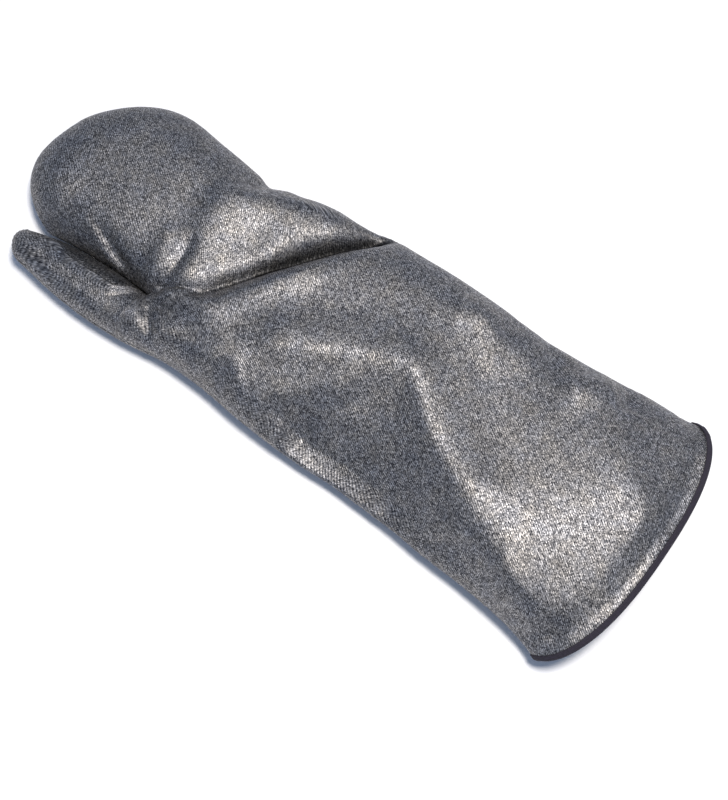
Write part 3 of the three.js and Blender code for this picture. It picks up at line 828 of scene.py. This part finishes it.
def twill_material(name):
    """Silver and black twill: yarn floats of random brightness in slanting ribs, some of them glinting."""
    colours = bpy.context.scene.mitt_colours
    black, silver = np.array(colours.black_yarn), np.array(colours.silver_yarn)
    material, tree, shader = new_material(name)
    uv = add_node(tree, "ShaderNodeUVMap", uv_map="UVMap").outputs["UV"]
    turned = add_node(tree, "ShaderNodeMapping", {"Rotation": (0, 0, TWILL_SLANT)}, {"Vector": uv})
    slant = turned.outputs["Vector"]
    scaled = add_node(tree, "ShaderNodeMapping", {"Scale": (*YARN_FLOATS, 1)}, {"Vector": slant})
    floats = {"Vector": scaled.outputs["Vector"]}
    yarn = add_node(tree, "ShaderNodeTexVoronoi", {"Scale": 1}, floats, voronoi_dimensions="2D")
    split = add_node(tree, "ShaderNodeSeparateColor", links={"Color": yarn.outputs["Color"]}).outputs
    rib = add_ribs(tree, slant, TWILL_RIBS, 0.8, "Y")
    strands = {"A": rib, "B": split["Red"]}
    ribbed = add_node(tree, "ShaderNodeMix", {"Factor": 0.74}, strands, data_type="FLOAT")
    weave = colour_ramp(
        tree,
        ribbed.outputs["Result"],
        (0.1, black),
        (0.5, mix(black, silver, 0.26)),
        (0.78, mix(black, silver, 0.5)),
        (0.94, silver),
    )
    place = {"Vector": add_node(tree, "ShaderNodeTexCoord").outputs["Object"]}
    cloud = add_node(tree, "ShaderNodeTexNoise", {"Scale": 60, "Detail": 4, "Roughness": 0.7}, place)
    tint = colour_ramp(tree, cloud.outputs["Fac"], (0.36, (0.86, 0.88, 0.95)), (0.66, (1.0, 0.97, 0.94)))
    # Painted shade: the shade attribute darkens the base colour towards near black in the creases and on the
    # thumb's flank
    shade = add_node(tree, "ShaderNodeAttribute", attribute_name="shade").outputs["Fac"]
    depth = colour_ramp(tree, shade, (0, (1, 1, 1)), (1, (0.06, 0.06, 0.06)))
    tree.links.new(multiplied(tree, multiplied(tree, weave, tint), depth), shader.inputs["Base Color"])
    gloss_range = {"To Min": 0.48, "To Max": 0.62}
    gloss = add_node(tree, "ShaderNodeMapRange", gloss_range, {"Value": split["Green"]})
    tree.links.new(gloss.outputs["Result"], shader.inputs["Roughness"])
    shader.inputs["Metallic"].default_value = 0.92
    add_bump(tree, shader, multiply_add(tree, split["Blue"], 0.8, rib), 0.35, 0.0002)
    return material


def tape_material(name):
    """Black woven tape: fine ribs across its width, dull, with the lint's pale specks."""
    black = np.array(bpy.context.scene.mitt_colours.tape)
    material, tree, shader = new_material(name)
    uv = add_node(tree, "ShaderNodeUVMap", uv_map="UVMap").outputs["UV"]
    rib = add_ribs(tree, uv, TAPE_RIBS, 0.6, "X")
    grain = add_node(tree, "ShaderNodeTexNoise", {"Scale": 700, "Detail": 2}, {"Vector": uv})
    woven = multiply_add(tree, rib, 0.4, grain.outputs["Fac"])
    tone = colour_ramp(tree, woven, (0.45, black * 0.6), (0.95, black * 2.2))
    tree.links.new(tone, shader.inputs["Base Color"])
    shader.inputs["Roughness"].default_value = 0.8
    add_bump(tree, shader, woven, 0.4, 0.0003)
    return material


def both_panels():
    """The back and the palm with the normals of the skin that they close together."""
    back, palm = Panel(1), Panel(-1)
    return back, palm, skin_normals(back, palm)


def aimed_object(name, data, azimuth, elevation, distance, target=(0, 0, 0)):
    """A camera or a light at a distance from its target, turned to look at it."""
    flat = math.cos(elevation)
    away = np.array([math.sin(azimuth) * flat, -math.cos(azimuth) * flat, math.sin(elevation)])
    made = bpy.data.objects.new(name, data)
    made.location = np.array(target) + away * distance
    made.rotation_euler = (math.pi / 2 - elevation, 0, azimuth)
    bpy.context.scene.collection.objects.link(made)
    return made


def length_setting(name, description, default):
    """A setting in metres."""
    return bpy.props.FloatProperty(name=name, description=description, default=default, unit="LENGTH")


def angle_setting(name, description, degrees):
    """A setting in degrees, held in radians."""
    turned = math.radians(degrees)
    return bpy.props.FloatProperty(name=name, description=description, default=turned, subtype="ANGLE")


def number_setting(name, description, default):
    """A setting that is a plain number."""
    return bpy.props.FloatProperty(name=name, description=description, default=default)


def colour_setting(name, description, default):
    """A setting that is a colour."""
    return bpy.props.FloatVectorProperty(
        name=name, description=description, default=default, subtype="COLOR"
    )


class MittSizes(bpy.types.PropertyGroup):
    """Sizes of the mitt's walls, seams and tape."""

    wall: length_setting("Wall", "Cloth, batting and lining", 0.0055)
    hem_wall: length_setting("Hem", "The wall where it is bound", 0.003)
    seam_gap: length_setting("Seam gap", "Between the panels", 0.0003)
    seam_depth: length_setting("Seam depth", "How far the seams pull in", 0.0007)
    wave_height: length_setting("Waves", "Height of soft waves", 0.0006)
    crease_share: number_setting("Creases", "Strength of the sharp creases", 1.0)
    tape_thickness: length_setting("Tape", "Thickness of the tape", 0.0009)


class MittColours(bpy.types.PropertyGroup):
    """Colours of the yarns and the tape."""

    black_yarn: colour_setting("Black yarn", "The darkest floats", (0.02, 0.021, 0.026))
    silver_yarn: colour_setting("Silver yarn", "The brightest floats", (0.66, 0.64, 0.615))
    tape: colour_setting("Tape", "The cuff's binding", (0.012, 0.009, 0.016))


class StageSettings(bpy.types.PropertyGroup):
    """The camera, the light and the sky."""

    azimuth: angle_setting("Azimuth", "Camera's turn", -54)
    elevation: angle_setting("Elevation", "Camera's height", 70)
    distance: length_setting("Distance", "Camera to target", 1.0436)
    lens: number_setting("Lens", "Focal length in millimetres", 60)
    target: bpy.props.FloatVectorProperty(
        name="Target",
        description="The point in the middle of the view",
        default=(-0.02364, -0.04628, 0.019),
        unit="LENGTH",
    )
    key_power: number_setting("Key", "Power of the key light in watts", 52)
    sky_strength: number_setting("Sky", "Strength of the sky light", 0.42)


class MITT_OT_panels(bpy.types.Operator):
    """Make the padded back and palm panels"""

    bl_idname = "mitt.panels"
    bl_label = "Panels"

    def execute(self, context):
        back, palm, normals = both_panels()
        for name, node, panel, own, slot in (
            ("back_shell", "back_panel", back, normals[0], "shell_cloth"),
            ("palm_shell", "palm_panel", palm, normals[1], "palm_cloth"),
        ):
            made = panel_object(name, panel, own, twill_material(slot))
            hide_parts(node)
            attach(made, "root")
        return {"FINISHED"}


class MITT_OT_binding(bpy.types.Operator):
    """Make the tape that binds the cuff"""

    bl_idname = "mitt.binding"
    bl_label = "Cuff binding"

    def execute(self, context):
        back, palm, normals = both_panels()
        made = binding_object(back, palm, normals, tape_material("binding_tape"))
        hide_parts("cuff_binding")
        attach(made, "root")
        return {"FINISHED"}


class MITT_OT_stage(bpy.types.Operator):
    """Make the pale floor, the light, the sky and the camera"""

    bl_idname = "mitt.stage"
    bl_label = "Stage"

    def execute(self, context):
        settings = context.scene.mitt_stage
        floor_material, _, shader = new_material("pale_floor")
        shader.inputs["Base Color"].default_value = FLOOR_COLOUR
        shader.inputs["Roughness"].default_value = 0.9
        corners = np.array([(-1, -1, 0), (1, -1, 0), (1, 1, 0), (-1, 1, 0)]) * FLOOR_HALF
        corners = corners - (0, 0, FLOOR_DROP)
        mesh_object("floor", corners, np.array([[0, 1, 2, 3]]), corners[:, :2], floor_material)

        camera_data = bpy.data.cameras.new("camera")
        camera_data.lens = settings.lens
        camera_data.sensor_width = SENSOR_WIDTH
        view = (settings.azimuth, settings.elevation, settings.distance, settings.target)
        context.scene.camera = aimed_object("camera", camera_data, *view)

        key = bpy.data.lights.new("key", "AREA")
        key.energy, key.size, key.color = settings.key_power, KEY_SIZE, KEY_COLOUR
        aimed_object("key", key, KEY_AZIMUTH, KEY_ELEVATION, KEY_DISTANCE)
        world = bpy.data.worlds.new("sky")
        world.use_nodes = True
        background = world.node_tree.nodes["Background"]
        background.inputs["Color"].default_value = SKY_COLOUR
        background.inputs["Strength"].default_value = settings.sky_strength
        context.scene.world = world
        context.scene.view_settings.view_transform = "Standard"
        return {"FINISHED"}


class MITT_PT_sidebar(bpy.types.Panel):
    """The mitt's tools"""

    bl_label = "Padded mitt"
    bl_idname = "MITT_PT_sidebar"
    bl_space_type = "VIEW_3D"
    bl_region_type = "UI"
    bl_category = "Mitt"

    def draw(self, context):
        for group in (context.scene.mitt_sizes, context.scene.mitt_colours, context.scene.mitt_stage):
            box = self.layout.box()
            for name in group.__annotations__:
                box.prop(group, name)
        for operator in OPERATORS:
            self.layout.operator(operator.bl_idname)


OPERATORS = (MITT_OT_panels, MITT_OT_binding, MITT_OT_stage)
CLASSES = (MittSizes, MittColours, StageSettings, *OPERATORS, MITT_PT_sidebar)


def register():
    """Add the classes, and the settings to the scene."""
    for each in CLASSES:
        bpy.utils.register_class(each)
    bpy.types.Scene.mitt_sizes = bpy.props.PointerProperty(type=MittSizes)
    bpy.types.Scene.mitt_colours = bpy.props.PointerProperty(type=MittColours)
    bpy.types.Scene.mitt_stage = bpy.props.PointerProperty(type=StageSettings)


def unregister():
    """Take the settings and the classes away again."""
    del bpy.types.Scene.mitt_stage
    del bpy.types.Scene.mitt_colours
    del bpy.types.Scene.mitt_sizes
    for each in reversed(CLASSES):
        bpy.utils.unregister_class(each)


def main():
    """Make every piece and the stage."""
    register()
    bpy.ops.mitt.panels()
    bpy.ops.mitt.binding()
    bpy.ops.mitt.stage()


if __name__ == "__main__":
    main()
